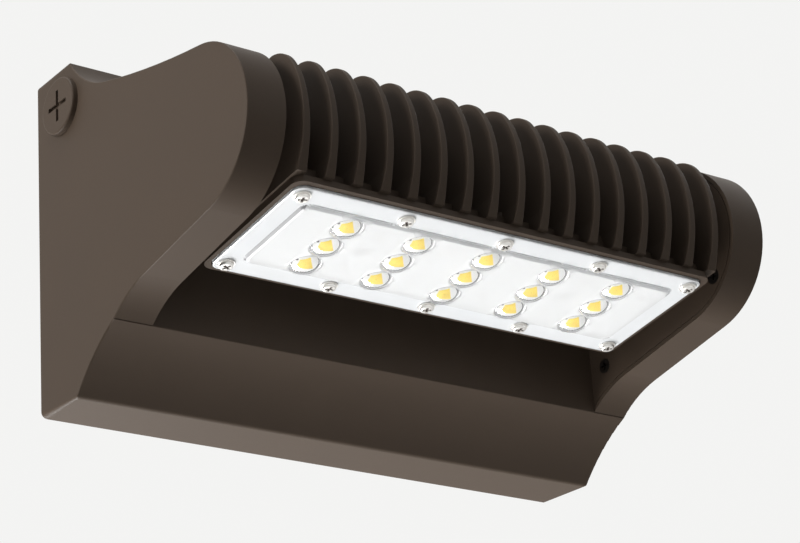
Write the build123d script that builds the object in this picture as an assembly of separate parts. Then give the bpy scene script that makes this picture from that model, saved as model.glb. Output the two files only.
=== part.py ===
from build123d import *
import math
import os

# A wall pack light: a wide cast housing with two arms, and a finned LED head that tilts between them.
# Millimetres. +Z is up, the wall is the plane y = 0, the light faces -Y, x = 0 is the middle of the
# width. The origin is the centre of the wall plate's back face. The width is built up from the middle:
# lens panel, head casting, gap, arm.

# ------------------------------------------------------------------------- fits
RUN = 0.05               # running clearance, radial
FACE = 0.1               # running clearance between flat faces
THREAD = 0.04            # screw thread or press fit in its hole, radial
EASE = 0.2               # plain hole over a screw or a wire, radial
TIP_ROOM = 0.5           # blind hole past a screw's tip
OVER = 1.0               # cuts start, and joined shapes meet, this far past a face

# ------------------------------------------------------------------------- lens panel, board, LEDs
# The head is drawn with its lens panel facing straight down and the tilt axis at the origin,
# then turned to the rest tilt and moved to the axis.
PANEL_W = 235.0
PANEL_DEPTH = 72.4
PANEL_T = 2.0
PANEL_Y = 13.5           # its middle, behind the tilt axis
PANEL_PROUD = 1.2        # flange below the casting's rim
PANEL_CORNER_R = 5.0
PANEL_GAP = 0.4          # panel and board to the casting
FIELD_INSET_X = 11.9     # raised field that holds the lenses, in from the panel's edge
FIELD_INSET_Y = 12.0
FIELD_RISE = 1.5
FIELD_EDGE = 1.1         # its sloping edge
FIELD_CORNER_R = 3.0
LENS_COLUMNS = 5
LENS_ROWS = 3
LENS_PITCH_X = 39.26
LENS_PITCH_Y = 16.43
LENS_R = 8.1
LENS_RISE = 3.6
LENS_HOLLOW_R = 3.4
SCREW_COLUMNS = 5
SCREW_INSET_X = 5.62     # outer screws, in from the panel's edge
SCREW_INSET_Y = 5.85
SCREW_R = 1.9
SCREW_LENGTH = 12.0
SCREW_HEAD_R = 3.3
SCREW_HEAD_T = 1.9
SCREW_WASHER_R = 4.1
SCREW_WASHER_T = 0.7
LENS_GASKET_T = 0.8
GASKET_REACH = 1.7       # inner edge of the lens gasket, outside the board
BOARD_INSET = 0.4        # board, in from the raised field
BOARD_T = 1.6
BOARD_AIR = 0.3          # board to lens panel
BOARD_CORNER_R = 2.0
LED_SIZE = 3.5
LED_T = 0.8
BOARD_SCREW_X = 58.9
BOARD_SCREW_R = 1.45
BOARD_SCREW_HEAD_R = 2.75
BOARD_SCREW_HEAD_T = 1.7
BOARD_SCREW_LENGTH = 5.0

# ------------------------------------------------------------------------- head casting
REST_TILT = 9.2          # degrees, panel turned a little to the front
RIM_Z = -33.0            # underside of the casting, below the tilt axis
STRIP_T = 3.2            # wide foot of the base, with the front strip
STRIP_CORNER_R = 5.5
BORDER_SIDE = 2.8        # casting outside the panel
BORDER_FRONT = 3.3
BORDER_BACK = 2.5
BASE_T = 6.6             # narrower body of the base, above the strip
BASE_STEP_SIDE = 1.2     # body inside the strip
BASE_STEP_FRONT = 4.3
BASE_STEP_BACK = 1.7
SCREW_BOSS_R = 4.5
SCREW_BOSS_RISE = 3.2
FIN_COUNT = 17
FIN_END_INSET = 1.43     # middle of the last fin, in from the casting's end
FIN_TIP_HALF = 1.15
FIN_ROOT_HALF = 1.9
FIN_FLARE_HALF = 2.6
FIN_FLARE_RISE = 2.0     # flare, above the base
FIN_EDGE_R = 0.5
FIN_TOE_STEP = 0.2       # foot of the fin's front edge, behind the strip's front
FIN_WAIST = (-36.0, -14.5)
FIN_BROW = (-38.8, 5.0)
FIN_SHOULDER = (-34.5, 23.4)
FIN_TOP_START_Y = -21.5
FIN_TOP_Z = 33.6
FIN_BACK_STEP = 2.5      # back edge of the fins, in front of the base's back
FIN_BACK_R = 14.0
HUB_R = 14.0
HUB_ROOT = 2.0           # hubs and ears start this far inside the casting's end
EAR_R = 5.0              # ear that holds the stop pin
EAR_T = 6.0
BLOCK_HALF_Y = 10.0      # solid block behind each hub
BLOCK_TOP_Z = 10.0
BLOCK_BACK = 8.0         # block past the trunnion's inner end
WIREWAY_R = 3.5
WIREWAY_RUN = 15.0       # trunnion's inner end to the wireway's bend

# ------------------------------------------------------------------------- tilt hardware
PIVOT_Y = -136.0         # tilt axis
PIVOT_Z = 5.0
TILT_DOWN = 0.0          # panel straight down
TILT_FRONT = 90.0        # panel facing forward
TRUNNION_R = 8.0
TRUNNION_BORE_R = 3.5
TRUNNION_SEAT = 15.0     # its length inside the hub
TRUNNION_PROUD = 0.3     # past the nut
FRICTION_T = 2.9
BUSH_R = 10.0
SPRING_WASHER_R = 13.0
SPRING_WASHER_T = 1.0
NUT_T = 4.0
NUT_FLATS = 24.0
STOP_R = 2.0
STOP_RING = 20.0         # stop pin, from the tilt axis
STOP_DEPTH = 2.6         # how far it reaches into the groove
GROOVE_DEPTH = 3.0
GROOVE_SIDE = 0.35       # groove wider than the pin, each side

# ------------------------------------------------------------------------- housing
HEAD_GAP = 9.7           # casting's end to the arm
ARM_W = 20.0             # arm's inner face to the side face
HEIGHT = 168.0           # bottom face to top ridge
WALL = 3.0               # cast wall
TOP_DEPTH = 29.5         # flat top, from the wall to the ridge
KNEE_Y = -61.0           # where the steep part of the top slope meets the gentle part
KNEE_DROP = 23.2         # that place, below the ridge
NOSE_R = 40.0            # round front of the arms
NOSE_BACK = 1.0          # its middle, behind the tilt axis
NOSE_CROWN = 7.5         # degrees, slope of the arm's top where it leaves the round front
UNDER_SLOPE = 11.7       # degrees, underside of the arms
UNDER_END_Y = -90.0      # where the straight underside ends
RECESS_Y = -64.7         # front face of the wall behind the head
CREASE_RISE = 26.7       # top edge of the chin, above the bottom face
CHIN_FOOT_Y = -31.5      # bottom edge of the chin
CHIN_HOLLOW = 2.1        # how far the chin face is hollow
RIDGE_R = 1.5            # rounding of the ridge
FOOT_R = 2.8             # rounding of the chin's bottom edge
CREASE_R = 0.8           # rounding of the chin's top edge, between the arms
CREASE_LINE_R = 0.35     # fine round groove that carries the crease on under the arms
SIDE_R = 0.6             # rounding along the side faces
BACK_CORNER_R = 3.0      # corners of the outline at the wall
FRONT_CORNER_R = 1.4     # the same corners at the ridge and the chin

# ------------------------------------------------------------------------- arm covers
COVER_T = 2.3            # thin inner side plate of an arm
COVER_LIP = 2.0          # rim of the arm left round the cover
PARTING = 0.4            # width of the line between cover and rim
DISC_R = 25.0            # thick disc round the pivot, inside the arm
DISC_T = 6.0             # from the cover's face
NUT_WELL_R = 15.0        # well in the disc for washer and nut
NUT_WELL_T = 4.0         # cover thickness left under the well
COVER_SCREW_R = 1.6
COVER_SCREW_HEAD_R = 3.8
COVER_SCREW_HEAD_T = 2.0
COVER_SCREW_LENGTH = 11.0
COVER_BOSS_R = 4.0
COVER_SCREW_RING = 22.0  # front cover screws, from the pivot, forward and up or down
COVER_REAR_STEP = 10.5   # rear cover screws, in front of the recess wall
COVER_REAR_UP = 38.0
COVER_REAR_DOWN = -36.0

# ------------------------------------------------------------------------- wall plate and fixings
PLATE_T = 2.5
PLATE_GAP = 0.4          # plate edge to housing wall
PLATE_CORNER_R = 4.6
GASKET_T = 3.0
GASKET_W = 3.6
LEDGE_T = 4.0            # ledge in the housing that presses the gasket
LEDGE_W = 4.5
WIRE_HOLE_R = 11.0
BOX_HOLE_R = 2.4
BOX_SPACING_X = 88.9     # junction box ears, side by side
BOX_SPACING_Z = 83.3     # device box ears, one above the other
LAG_HOLE_R = 3.5
LAG_INSET_X = 30.0       # corner holes, in from the housing's outline
LAG_INSET_Z = 24.0
POST_INSET = 50.0        # posts that take the housing screws, in from the side
POST_Z = 20.0
POST_R = 6.0
HOUSING_SCREW_R = 2.9
HOUSING_SCREW_LENGTH = 30.0
HOUSING_SCREW_HEAD_R = 5.5
HOUSING_SCREW_HEAD_T = 3.8
HOUSING_SCREW_ROUND = 1.5
SEAL_R = 6.5
SEAL_T = 0.8
GROUND_X = -50.0
GROUND_Z = 45.0
GROUND_R = 5.0
GROUND_T = 3.2
GROUND_SLOT = 1.0

# ------------------------------------------------------------------------- conduit plugs
PLUG_Y = -23.0
PLUG_DROP = 20.5         # below the ridge
PLUG_HEAD_R = 14.0
PLUG_HEAD_T = 3.0
PLUG_HEAD_ROUND = 1.0
PLUG_SHANK_R = 10.4
PLUG_SHANK_WALL = 2.0
PLUG_SHANK_LENGTH = 12.0
PLUG_SLOT_LENGTH = 15.9
PLUG_SLOT_W = 2.2
PLUG_SLOT_DEPTH = 1.6
PLUG_BOSS_WALL = 3.2
PLUG_BOSS_T = 8.0
PLUG_SEAL_R = 11.9
PLUG_SEAL_SECTION = 0.9

# ------------------------------------------------------------------------- electrical pieces
STANDOFF = 4.0           # pads and bosses behind the recess wall
DRIVER_HALF_W = 70.0
DRIVER_CAP_T = 5.0
DRIVER_T = 30.0
DRIVER_Z = -26.0
DRIVER_HALF_H = 21.0
DRIVER_EDGE_R = 2.0
DRIVER_TAB = 13.0
DRIVER_TAB_T = 2.0
DRIVER_TAB_HALF_H = 7.0
DRIVER_PAD_X = 45.0
DRIVER_PAD_HALF_W = 4.0
DRIVER_PAD_INSET = 4.0
DRIVER_BOSS_R = 5.0
DEVICE_SCREW_R = 1.5
DEVICE_SCREW_HEAD_R = 2.7
DEVICE_SCREW_HEAD_T = 1.8
DEVICE_PAD_HALF_W = 12.0
DEVICE_PAD_HALF_H = 7.0
DEVICE_EDGE_R = 1.5
SURGE_INSET = 36.0       # its middle, in from the housing's side wall
SURGE_Z = -31.5
SURGE_HALF_W = 19.0
SURGE_HALF_H = 13.5
SURGE_T = 24.0
TERMINAL_X = 0.0
TERMINAL_Z = 38.0
TERMINAL_HALF_W = 18.0
TERMINAL_HALF_H = 9.0
TERMINAL_T = 16.0
TERMINAL_WELLS = (-12.0, -6.0, 6.0, 12.0)
TERMINAL_WELL_R = 1.8
TERMINAL_WELL_DEPTH = 3.0
TERMINAL_WELL_DROP = 4.0
LEAD_R = 2.0
LEAD_GAP = 0.9           # driver lead to the arm's side wall
DRIVER_LEAD_OUT = 22.5   # its end, in front of the devices' seats
DRIVER_LEAD_UP = 14.0    # and above the driver's middle
DRIVER_LEAD_BENDS = ((0.0, 0.0, 0.0), (14.0, 0.0, 0.0), (34.0, -2.0, 4.0), (52.0, -9.0, 8.5))
LEAD_TURN = (4.1, 2.5, 5.0)      # turn into the arm: beside, behind and below
LEAD_ARM_RUN = ((62.0, -3.0), (41.0, -2.6), (20.0, -1.6), (0.0, 0.0))
SUPPLY_X = (6.0, 15.0)   # at the terminal block and at the driver
SUPPLY_OUT = 8.0         # in front of the devices' seats
SUPPLY_STEP = 5.0        # further out at the driver
SUPPLY_STRAIGHT = 10.0   # straight run at each end
SURGE_WIRE_X = 13.0      # its end, in from the surge protector's middle
SURGE_WIRE_OUT = 6.0
SURGE_WIRE_BENDS = ((0.0, 0.0), (0.0, 14.0), (-14.0, 34.0), (-34.0, 50.0))
SURGE_WIRE_REACH = 56.0  # to the last bend, beside the terminal block
WIRE_R = 1.5
BEND_LIMIT = 60.0        # no wire turns on a larger radius

# ------------------------------------------------------------------------- places that follow
PANEL_Z = RIM_Z - PANEL_PROUD
PANEL_BACK_Z = PANEL_Z + PANEL_T
FIELD_Z = PANEL_Z - FIELD_RISE
FIELD_HALF_W = PANEL_W / 2 - FIELD_INSET_X
FIELD_HALF_DEPTH = PANEL_DEPTH / 2 - FIELD_INSET_Y
SEAT_Z = PANEL_BACK_Z + LENS_GASKET_T
BOARD_HALF_W = FIELD_HALF_W - BOARD_INSET
BOARD_HALF_DEPTH = FIELD_HALF_DEPTH - BOARD_INSET
BOARD_Z = PANEL_BACK_Z + BOARD_AIR
BOARD_SEAT_Z = BOARD_Z + BOARD_T
SCREW_PITCH_X = (PANEL_W - 2 * SCREW_INSET_X) / (SCREW_COLUMNS - 1)
SCREW_Y = PANEL_DEPTH / 2 - SCREW_INSET_Y

HEAD_HALF_W = PANEL_W / 2 + BORDER_SIDE
STRIP_FRONT_Y = PANEL_Y - PANEL_DEPTH / 2 - BORDER_FRONT
STRIP_BACK_Y = PANEL_Y + PANEL_DEPTH / 2 + BORDER_BACK
STRIP_TOP_Z = RIM_Z + STRIP_T
BASE_TOP_Z = STRIP_TOP_Z + BASE_T
BASE_FRONT_Y = STRIP_FRONT_Y + BASE_STEP_FRONT
BASE_BACK_Y = STRIP_BACK_Y - BASE_STEP_BACK
FIN_PITCH = 2 * (HEAD_HALF_W - FIN_END_INSET) / (FIN_COUNT - 1)
FIN_TOE = (STRIP_FRONT_Y + FIN_TOE_STEP, RIM_Z)
FIN_BACK_Y = BASE_BACK_Y - FIN_BACK_STEP

ARM_IN = HEAD_HALF_W + HEAD_GAP
HALF_W = ARM_IN + ARM_W
WIDTH = 2 * HALF_W
HALF_H = HEIGHT / 2
FAR = 2 * WIDTH
SIDE_ROOT = HALF_W - WALL
COVER_OUT = ARM_IN + COVER_T
HUB_FACE = ARM_IN - FACE - FRICTION_T
TRUNNION_IN = HUB_FACE - TRUNNION_SEAT
WIREWAY_X = TRUNNION_IN - WIREWAY_RUN
NUT_SEAT = ARM_IN + NUT_WELL_T + FACE
NUT_FACE = NUT_SEAT + SPRING_WASHER_T
TRUNNION_OUT = NUT_FACE + NUT_T + TRUNNION_PROUD

INNER_WALL = RECESS_Y + WALL
CREASE_Z = CREASE_RISE - HALF_H
LEDGE_BACK = -(PLATE_T + GASKET_T)
LAG_X = HALF_W - LAG_INSET_X
LAG_Z = HALF_H - LAG_INSET_Z
POST_X = HALF_W - POST_INSET
PLUG_Z = HALF_H - PLUG_DROP
DEVICE_Y = INNER_WALL + STANDOFF
SURGE_X = SIDE_ROOT - SURGE_INSET
DRIVER_END = DRIVER_HALF_W + DRIVER_CAP_T
DRIVER_SCREW_X = DRIVER_END + DRIVER_TAB / 2
LEAD_X = SIDE_ROOT - LEAD_R - LEAD_GAP
SIDES = {"left": -1, "right": 1}


# ------------------------------------------------------------------------- plain shapes
def block(x, y, z):
    """Box between two x, two y and two z values."""
    middle = Pos((x[0] + x[1]) / 2, (y[0] + y[1]) / 2, (z[0] + z[1]) / 2)
    return middle * Box(abs(x[1] - x[0]), abs(y[1] - y[0]), abs(z[1] - z[0]))


def around(middle, half):
    """Low and high value either side of a middle."""
    return middle - half, middle + half


def rod_x(radius, x, y, z):
    """Cylinder along X between two x values."""
    return Pos((x[0] + x[1]) / 2, y, z) * Rot(0, 90, 0) * Cylinder(radius, abs(x[1] - x[0]))


def rod_y(radius, x, y, z):
    """Cylinder along Y between two y values."""
    return Pos(x, (y[0] + y[1]) / 2, z) * Rot(90, 0, 0) * Cylinder(radius, abs(y[1] - y[0]))


def rod_z(radius, x, y, z):
    """Cylinder along Z between two z values."""
    return Pos(x, y, (z[0] + z[1]) / 2) * Cylinder(radius, abs(z[1] - z[0]))


def ring_x(outer, inner, x, y=0.0, z=0.0):
    """Ring about an X axis."""
    return rod_x(outer, x, y, z) - rod_x(inner, (x[0] - OVER, x[1] + OVER), y, z)


def slab(width, depth, corner, y, z):
    """Plate with rounded corners, flat in z, centred on x = 0 and the given y."""
    outline = Pos(0, y, z[0]) * RectangleRounded(width, depth, corner)
    return extrude(outline, amount=z[1] - z[0])


def upright_plate(width, height, corner, y):
    """Plate with rounded corners, upright in the XZ plane, between two y values."""
    outline = Plane.XZ.offset(-max(y)) * RectangleRounded(width, height, corner)
    return extrude(outline, amount=abs(y[1] - y[0]))


def on_side(right_piece, side):
    """The right hand piece, or its mirror image where side is -1."""
    return right_piece if side > 0 else mirror(right_piece, about=Plane.YZ)


def both_sides(right_piece):
    return [on_side(right_piece, side) for side in SIDES.values()]


def cross_slots(face, length, width, depth):
    """Two crossed slots, centred on the face that they are cut into."""
    return face * (Box(length, width, 2 * depth) + Box(width, length, 2 * depth))


def cross_recess(face, head_r):
    """Cross recess of a screw, in proportion to its head."""
    return cross_slots(face, 1.1 * head_r, 0.24 * head_r, 0.33 * head_r)


def bend_radii(points):
    """Largest tangent radius at each corner: 0.45 of the shorter run over tan of half the turn."""
    radii = []
    for before, here, after in zip(points, points[1:], points[2:]):
        first = Vector(*here) - Vector(*before)
        second = Vector(*after) - Vector(*here)
        turn = math.radians(first.get_angle(second))
        radii.append(min(BEND_LIMIT, 0.45 * min(first.length, second.length) / math.tan(turn / 2)))
    return radii


def tube(points, radii, radius):
    """Wire along straight runs joined by tangent arcs; prints its volume against section x length."""
    path = FilletPolyline(*points, radius=radii)
    start = Plane(path @ 0, z_dir=path % 0)
    wire = sweep(start * Circle(radius), path=path)
    print(f"tube r {radius}: volume {wire.volume:.1f}, section x length "
          f"{math.pi * radius ** 2 * path.length:.1f}, radii {[round(r, 1) for r in radii]}")
    return wire


def group(pieces):
    """Several separate solids in one node."""
    solids = [solid for piece in pieces for solid in piece.solids()]
    return Compound(children=solids)


# ------------------------------------------------------------------------- housing
def side_profile():
    """The housing seen from its side, in y and z."""
    ridge = (-TOP_DEPTH, HALF_H)
    knee = (KNEE_Y, HALF_H - KNEE_DROP)
    nose_y = PIVOT_Y + NOSE_BACK
    crown = math.radians(NOSE_CROWN)
    slope = math.radians(UNDER_SLOPE)
    nose_top = (nose_y - NOSE_R * math.sin(crown), PIVOT_Z + NOSE_R * math.cos(crown))
    nose_front = (nose_y - NOSE_R, PIVOT_Z)
    nose_low = (nose_y - NOSE_R * math.sin(slope), PIVOT_Z - NOSE_R * math.cos(slope))
    under_end = (UNDER_END_Y, nose_low[1] - (UNDER_END_Y - nose_low[0]) * math.tan(slope))
    crease = (RECESS_Y, CREASE_Z)
    foot = (CHIN_FOOT_Y, -HALF_H)
    chin = Vector(foot[0] - crease[0], foot[1] - crease[1])
    inward = Vector(-chin.Y, chin.X).normalized() * CHIN_HOLLOW
    chin_middle = ((crease[0] + foot[0]) / 2 + inward.X, (crease[1] + foot[1]) / 2 + inward.Y)
    with BuildSketch(Plane.YZ) as sketch:
        with BuildLine():
            Line((0, HALF_H), ridge)
            gentle = TangentArc(nose_top, knee, tangent=(math.cos(crown), math.sin(crown)))
            TangentArc(knee, ridge, tangent=gentle % 1)
            ThreePointArc(nose_top, nose_front, nose_low)
            under = Line(nose_low, under_end)
            TangentArc(under_end, crease, tangent=under % 1)
            ThreePointArc(crease, chin_middle, foot)
            Line(foot, (0, -HALF_H))
            Line((0, -HALF_H), (0, HALF_H))
        make_face()
        fillet(corner_near(sketch.vertices(), ridge), RIDGE_R)
        fillet(corner_near(sketch.vertices(), foot), FOOT_R)
    return sketch.sketch


def inset(outline, amount):
    """An outline moved inwards all round, with its corners kept sharp."""
    return offset(outline, amount=-amount, kind=Kind.INTERSECTION)


def corner_near(corners, place):
    """The corner of an outline being drawn that lies nearest to a place given in y and z."""
    return min(corners, key=lambda c: math.hypot(c.X - place[0], c.Y - place[1]))


def slice_x(outline, x):
    """An outline in the YZ plane carried between two x values."""
    return extrude(Pos(x[0], 0, 0) * outline, amount=x[1] - x[0])


def housing_solid(profile):
    """Profile carried across the width, inside an outline whose corners grow rounder at the wall."""
    carried = slice_x(profile, (-HALF_W, HALF_W))
    side_edges = [
        edge for edge in carried.edges()
        if abs(abs(edge.center().X) - HALF_W) < 0.01 and edge.center().Y < -0.01
    ]
    carried = fillet(side_edges, SIDE_R)
    at_wall = Plane.XZ * RectangleRounded(WIDTH, HEIGHT, BACK_CORNER_R)
    at_ridge = Plane.XZ.offset(TOP_DEPTH) * RectangleRounded(WIDTH, HEIGHT, FRONT_CORNER_R)
    envelope = loft([at_wall.face(), at_ridge.face()], ruled=True)
    envelope += extrude(at_ridge, amount=FAR)
    return carried & envelope


def cover_screw_places():
    """The four screws of an arm cover, as y and z."""
    front = PIVOT_Y - COVER_SCREW_RING
    rear = RECESS_Y - COVER_REAR_STEP
    return [
        (front, PIVOT_Z + COVER_SCREW_RING), (front, PIVOT_Z - COVER_SCREW_RING),
        (rear, COVER_REAR_UP), (rear, COVER_REAR_DOWN),
    ]


def gasket_ledge(profile):
    """Frame inside the housing's walls that presses the gasket on the wall plate."""
    y = (LEDGE_BACK - LEDGE_T, LEDGE_BACK)
    half_w = HALF_W - OVER
    half_h = HALF_H - OVER
    ledge = block((-half_w, half_w), y, (-half_h, half_h))
    opening_x = SIDE_ROOT - LEDGE_W
    opening_z = HALF_H - WALL - LEDGE_W
    ledge -= block((-opening_x, opening_x), y, (-opening_z, opening_z))
    return ledge & slice_x(profile, (-half_w, half_w))


def inner_seats():
    """Pads and bosses behind the recess wall that the electrical pieces sit on."""
    y = (INNER_WALL, DEVICE_Y)
    pad_z = around(DRIVER_Z, DRIVER_HALF_H - DRIVER_PAD_INSET)
    seats = both_sides(block(around(DRIVER_PAD_X, DRIVER_PAD_HALF_W), y, pad_z))
    seats += both_sides(rod_y(DRIVER_BOSS_R, DRIVER_SCREW_X, y, DRIVER_Z))
    for x, z in ((SURGE_X, SURGE_Z), (TERMINAL_X, TERMINAL_Z)):
        seats.append(block(around(x, DEVICE_PAD_HALF_W), y, around(z, DEVICE_PAD_HALF_H)))
    return seats


def make_housing(profile):
    inner = inset(profile, WALL)
    mouth = Plane.YZ * Pos(-WALL, 0) * Rectangle(4 * WALL, HEIGHT - 2 * WALL)
    body = housing_solid(profile) - slice_x(inner + mouth, (-SIDE_ROOT, SIDE_ROOT))
    body -= block((-ARM_IN, ARM_IN), (-FAR, RECESS_Y), (-HEIGHT, HEIGHT))
    seat = slice_x(inset(profile, COVER_LIP), (ARM_IN - OVER, COVER_OUT))
    body -= both_sides(seat & block((0, FAR), (-FAR, RECESS_Y), (-HEIGHT, HEIGHT)))
    rear_wall = block((-COVER_OUT, COVER_OUT), (RECESS_Y, INNER_WALL), (-HEIGHT, HEIGHT))
    body += slice_x(profile, (-COVER_OUT, COVER_OUT)) & rear_wall
    chin_top = [
        edge for edge in body.edges().filter_by(Axis.X)
        if abs(edge.center().Y - RECESS_Y) < 0.01 and abs(edge.center().Z - CREASE_Z) < 0.01
        and edge.length > PANEL_W
    ]
    body = fillet(chin_top, CREASE_R)
    body -= both_sides(rod_x(CREASE_LINE_R, (ARM_IN, HALF_W + OVER), RECESS_Y, CREASE_Z))
    body += gasket_ledge(profile)
    for y, z in cover_screw_places():
        body += both_sides(rod_x(COVER_BOSS_R, (COVER_OUT, SIDE_ROOT + OVER), y, z))
    plug_boss = rod_x(PLUG_SHANK_R + PLUG_BOSS_WALL, (SIDE_ROOT - PLUG_BOSS_T, SIDE_ROOT + OVER), PLUG_Y, PLUG_Z)
    body += both_sides(plug_boss)
    body += inner_seats()

    entry = (SIDE_ROOT - PLUG_BOSS_T - OVER, HALF_W + OVER)
    body -= both_sides(rod_x(PLUG_SHANK_R + THREAD, entry, PLUG_Y, PLUG_Z))
    for y, z in cover_screw_places():
        hole = (COVER_OUT - OVER, ARM_IN + COVER_SCREW_LENGTH + TIP_ROOM)
        body -= both_sides(rod_x(COVER_SCREW_R + THREAD, hole, y, z))
    through = (RECESS_Y - OVER, INNER_WALL + OVER)
    body -= both_sides(rod_y(HOUSING_SCREW_R + EASE, POST_X, through, POST_Z))
    blind = (INNER_WALL - OVER, DEVICE_Y + OVER)
    body -= both_sides(rod_y(DEVICE_SCREW_R + THREAD, DRIVER_SCREW_X, blind, DRIVER_Z))
    for x, z in ((SURGE_X, SURGE_Z), (TERMINAL_X, TERMINAL_Z)):
        body -= rod_y(DEVICE_SCREW_R + THREAD, x, blind, z)
    return body


# ------------------------------------------------------------------------- arm covers and tilt hardware
def make_arm_cover(profile):
    """Right hand cover: a plate inside the arm's rim, and a thick disc round the pivot."""
    ahead = block((0, FAR), (-FAR, RECESS_Y - FACE), (-HEIGHT, HEIGHT))
    cover = slice_x(inset(profile, COVER_LIP + PARTING), (ARM_IN, COVER_OUT)) & ahead
    well_end = ARM_IN + DISC_T
    cover += rod_x(DISC_R, (ARM_IN + OVER, well_end), PIVOT_Y, PIVOT_Z)
    cover -= rod_x(NUT_WELL_R, (ARM_IN + NUT_WELL_T, well_end + OVER), PIVOT_Y, PIVOT_Z)
    cover -= rod_x(BUSH_R + THREAD, (ARM_IN - OVER, well_end + OVER), PIVOT_Y, PIVOT_Z)
    groove = Pos(ARM_IN, 0, 0) * (Plane.YZ * Pos(PIVOT_Y, PIVOT_Z) * groove_outline())
    cover -= extrude(groove, amount=GROOVE_DEPTH)
    for y, z in cover_screw_places():
        cover -= cover_screw_hole(y, z)
    return cover


def groove_outline():
    """Arc shaped slot for the stop pin, about the pivot, from facing forward to facing down."""
    spare = 1 + math.degrees(GROOVE_SIDE / STOP_RING)
    start = 90 - TILT_FRONT - spare
    swing = TILT_FRONT - TILT_DOWN + 2 * spare
    half = STOP_R + GROOVE_SIDE
    sector = Circle(STOP_RING + half) - Circle(STOP_RING - half)
    reach = 2 * STOP_RING
    wedge = [(0, 0)] + [
        (reach * math.cos(math.radians(a)), reach * math.sin(math.radians(a)))
        for a in (start, start + swing / 2, start + swing)
    ]
    sector = sector & make_face(Polyline(*wedge, close=True).edges())
    for angle in (start, start + swing):
        place = math.radians(angle)
        sector += Pos(STOP_RING * math.cos(place), STOP_RING * math.sin(place)) * Circle(half)
    return sector


def countersunk(y, z, grow, x):
    """Countersunk head at the arm's inner face and a shank between two x values."""
    cone = Cone(COVER_SCREW_HEAD_R + grow, COVER_SCREW_R + grow, COVER_SCREW_HEAD_T)
    head = Pos(ARM_IN + COVER_SCREW_HEAD_T / 2, y, z) * Rot(0, 90, 0) * cone
    return head + rod_x(COVER_SCREW_R + grow, x, y, z)


def cover_screw_hole(y, z):
    return countersunk(y, z, THREAD, (ARM_IN - OVER, COVER_OUT + DISC_T))


def make_cover_screw(y, z):
    """Right hand cover screw."""
    screw = countersunk(y, z, 0.0, (ARM_IN, ARM_IN + COVER_SCREW_LENGTH))
    return screw - cross_recess(Pos(ARM_IN, y, z) * Rot(0, 90, 0), COVER_SCREW_HEAD_R)


def make_nut():
    """Right hand lock nut, about the tilt axis."""
    hexagon = Plane.YZ.offset(NUT_FACE) * RegularPolygon(NUT_FLATS / math.sqrt(3), 6)
    hole = (NUT_FACE - OVER, NUT_FACE + NUT_T + OVER)
    return extrude(hexagon, amount=NUT_T) - rod_x(TRUNNION_R + THREAD, hole, 0, 0)


# ------------------------------------------------------------------------- head casting
def make_fin():
    """One fin about x = 0: a curved outline, thicker and flared at its root, with eased edges."""
    with BuildSketch(Plane.YZ) as side:
        with BuildLine():
            ThreePointArc(FIN_TOE, FIN_WAIST, FIN_BROW)
            brow = TangentArc(FIN_BROW, FIN_SHOULDER, tangent=(0, 1))
            crown = TangentArc(FIN_SHOULDER, (FIN_TOP_START_Y, FIN_TOP_Z), tangent=brow % 1)
            Polyline(crown @ 1, (FIN_BACK_Y, FIN_TOP_Z), (FIN_BACK_Y, RIM_Z), FIN_TOE)
        make_face()
        fillet(corner_near(side.vertices(), (FIN_BACK_Y, FIN_TOP_Z)), FIN_BACK_R)
    flare_z = BASE_TOP_Z + FIN_FLARE_RISE
    section = [(FIN_FLARE_HALF, STRIP_TOP_Z), (FIN_ROOT_HALF, flare_z), (FIN_TIP_HALF, FIN_TOP_Z + OVER)]
    section += [(-x, z) for x, z in reversed(section)]
    section = make_face(Polyline(*section, close=True).edges())
    wedge = extrude(Plane.XZ.offset(-FAR) * section, amount=2 * FAR)
    fin = slice_x(side.sketch, (-2 * FIN_FLARE_HALF, 2 * FIN_FLARE_HALF)) & wedge
    free = [
        edge for edge in fin.edges()
        if edge.bounding_box().min.Z > flare_z - 0.1 and edge.bounding_box().size.X < 2 * FIN_FLARE_HALF
        and abs(edge.center().X) > FIN_TIP_HALF / 2
    ]
    return fillet(free, FIN_EDGE_R)


def screw_places():
    """The ten lens panel screws, as x and y in the head's own frame."""
    middle = (SCREW_COLUMNS - 1) / 2
    return [
        ((i - middle) * SCREW_PITCH_X, PANEL_Y + side * SCREW_Y)
        for i in range(SCREW_COLUMNS) for side in (-1, 1)
    ]


def lens_places():
    """The fifteen lenses, as x and y in the head's own frame."""
    return [
        ((i - (LENS_COLUMNS - 1) / 2) * LENS_PITCH_X, PANEL_Y + (j - (LENS_ROWS - 1) / 2) * LENS_PITCH_Y)
        for i in range(LENS_COLUMNS) for j in range(LENS_ROWS)
    ]


def make_hub(side):
    """Hub, stop pin ear and the solid block behind them; the right block also holds the wireway."""
    root = side * (HEAD_HALF_W - HUB_ROOT)
    hub = rod_x(HUB_R, (root, side * HUB_FACE), 0, 0)
    ear_x = (root, root + side * EAR_T)
    ear = rod_x(EAR_R, ear_x, 0, STOP_RING)
    ear += block(ear_x, (-EAR_R, EAR_R), (0, STOP_RING))
    inner = WIREWAY_X - WIREWAY_R - OVER if side > 0 else TRUNNION_IN - BLOCK_BACK
    solid = block((side * inner, root), around(0, BLOCK_HALF_Y), (BASE_TOP_Z - OVER, BLOCK_TOP_Z))
    return hub + ear + solid


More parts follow.
